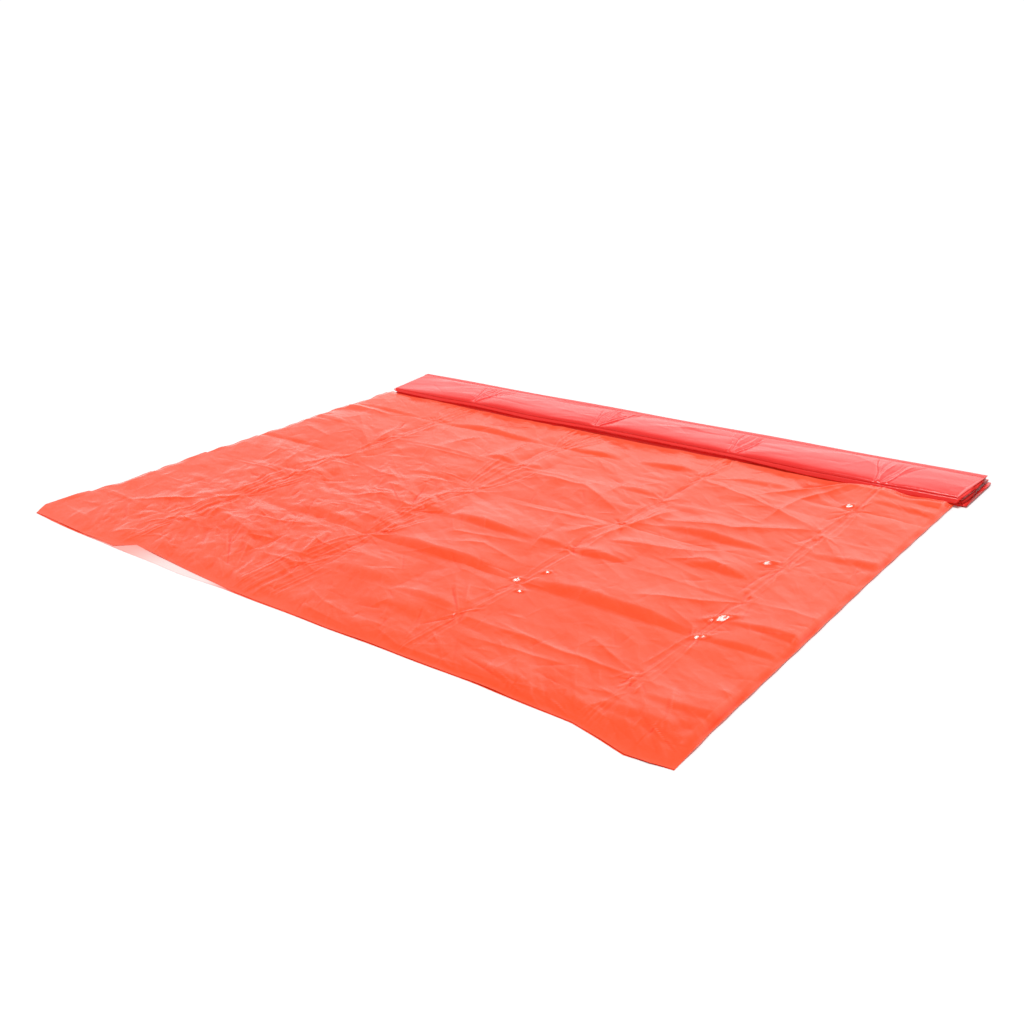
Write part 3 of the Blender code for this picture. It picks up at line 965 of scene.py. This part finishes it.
def studio():
    ends = (-FLOOR_HALF, FLOOR_HALF)
    corners = np.array([[[x, y, 0] for x in ends] for y in ends], float)
    floor = grid_object("studio_floor", corners, floor_material())

    world = bpy.data.worlds.new("studio_world")
    bpy.context.scene.world = world
    world.use_nodes = True
    nodes, links = world.node_tree.nodes, world.node_tree.links
    direction = nodes.new("ShaderNodeTexCoord")
    split = nodes.new("ShaderNodeSeparateXYZ")
    links.new(direction.outputs["Generated"], split.inputs["Vector"])
    facing = nodes.new("ShaderNodeVectorMath")
    facing.operation = "DOT_PRODUCT"
    facing.inputs[1].default_value = BRIGHT_SIDE
    links.new(direction.outputs["Generated"], facing.inputs[0])
    share = nodes.new("ShaderNodeMapRange")
    share.inputs["From Min"].default_value = BRIGHT_START
    share.inputs["From Max"].default_value = BRIGHT_END
    links.new(facing.outputs["Value"], share.inputs["Value"])
    sides = nodes.new("ShaderNodeMix")
    sides.data_type = "RGBA"
    links.new(share.outputs["Result"], sides.inputs["Factor"])
    for socket, stops in (("A", DIM_WALL), ("B", BRIGHT_WALL)):
        ramp = nodes.new("ShaderNodeValToRGB")
        elements = ramp.color_ramp.elements
        while len(elements) < len(stops):
            elements.new(0.5)
        for element, (height, level) in zip(elements, stops):
            element.position = height
            element.color = (level, level, level, 1.0)
        links.new(split.outputs["Z"], ramp.inputs["Fac"])
        links.new(ramp.outputs["Color"], sides.inputs[socket])
    links.new(sides.outputs["Result"], nodes["Background"].inputs["Color"])
    nodes["Background"].inputs["Strength"].default_value = WALL_STRENGTH

    light = bpy.data.lights.new("softbox", "SUN")
    light.energy = SOFTBOX_STRENGTH
    light.angle = radians(SOFTBOX_ANGLE)
    softbox = bpy.data.objects.new("softbox", light)
    softbox.rotation_euler = (radians(SOFTBOX_TURN[0]), radians(SOFTBOX_TURN[1]), 0)
    bpy.context.scene.collection.objects.link(softbox)


def camera():
    """Eye height of somebody crouching by the near right corner of the mouth."""
    data = bpy.data.cameras.new("camera")
    data.sensor_width = CAMERA_SENSOR
    data.lens = CAMERA_LENS
    obj = bpy.data.objects.new("camera", data)
    heading, tilt, roll = (radians(angle) for angle in CAMERA_TURN)
    turn = (Matrix.Rotation(heading, 4, "Z") @ Matrix.Rotation(tilt, 4, "X")
            @ Matrix.Rotation(roll, 4, "Z"))
    obj.matrix_world = Matrix.Translation(CAMERA_PLACE) @ turn
    bpy.context.scene.collection.objects.link(obj)
    bpy.context.scene.camera = obj


# ---------------------------------------------------------------- the bag
# Colours of the film: plain, where it is thin, and the pale colour of its painted light.
FILM_COLOUR = (0.90, 0.068, 0.016, 1)
FILM_THIN = (0.92, 0.085, 0.023, 1)
FILM_PAINTED_PALE = (0.98, 0.16, 0.10, 1)
# Pale colour of painted light and glare where the lower film shows as a single layer.
SINGLE_LAYER_PAINTED_PALE = (1.0, 0.72, 0.70, 1)
PACK_COLOUR = (0.85, 0.034, 0.028, 1)
PACK_THIN = (0.89, 0.050, 0.042, 1)
PACK_PAINTED_PALE = (0.95, 0.24, 0.24, 1)
FUSED_COLOUR = (0.82, 0.040, 0.036, 1)
FUSED_THIN = (0.86, 0.055, 0.050, 1)
FUSED_PAINTED_PALE = (0.9, 0.15, 0.14, 1)

# Bands of the upper film, in panels from the mouth.
UPPER_BANDS = (
    ("upper_film_1", 0, 2), ("upper_film_2", 2, 4), ("upper_film_3", 4, 6), ("upper_film_4", 6, 7),
)


def main():
    bpy.context.scene.view_settings.view_transform = "Standard"
    camera()
    studio()

    film = film_material("film", FILM_COLOUR, FILM_THIN, FILM_PAINTED_PALE, 0.20)
    lower = film_material("film_lower", FILM_COLOUR, FILM_THIN, SINGLE_LAYER_PAINTED_PALE, 0.22)
    pack = film_material("film_pack", PACK_COLOUR, PACK_THIN, PACK_PAINTED_PALE, 0.20)
    fused = film_material("film_fused", FUSED_COLOUR, FUSED_THIN, FUSED_PAINTED_PALE, 0.26)

    bands = []
    for name, start, end in UPPER_BANDS:
        past_end = UNDER_PACK if end == OPEN_PANELS else 0
        band = upper_film(name, start * PITCH, min(end * PITCH, V_PACK) + past_end, film)
        bands.append(band)
    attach(bands[0], "mouth")
    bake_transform(bands[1])
    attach(bands[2], "base")
    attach(bands[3], "base")
    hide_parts("mouth_flap")
    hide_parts("upper_wall")
    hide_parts("upper_wall_slope")

    lower_mouth = lower_film("lower_film_mouth", 0.0, V_HINGE, lower)
    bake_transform(lower_mouth)
    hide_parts("lower_wall", "left_side_fold", "right_side_fold")
    lower_rear = lower_film("lower_film_rear", V_HINGE, V_PACK, lower)
    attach(lower_rear, "base")

    tucked = panel_film(0, TUCKED_STATIONS, TUCKED_ROWS, pack, "tucked_film")
    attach(tucked, "base")
    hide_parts("tucked_panel")
    for number in range(1, PACK_PANELS + 1):
        top = number == PACK_PANELS
        stations = TOP_STATIONS if top else STATIONS
        rows = TOP_ROWS if top else ROWS
        panel = panel_film(number, stations, rows, pack, f"pack_film_{number:02d}")
        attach(panel, f"foot_{number:02d}")
        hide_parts(f"foot_panel_{number:02d}")
    band = weld_band(fused)
    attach(band, f"foot_{PACK_PANELS:02d}")
    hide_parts("foot_weld")


main()
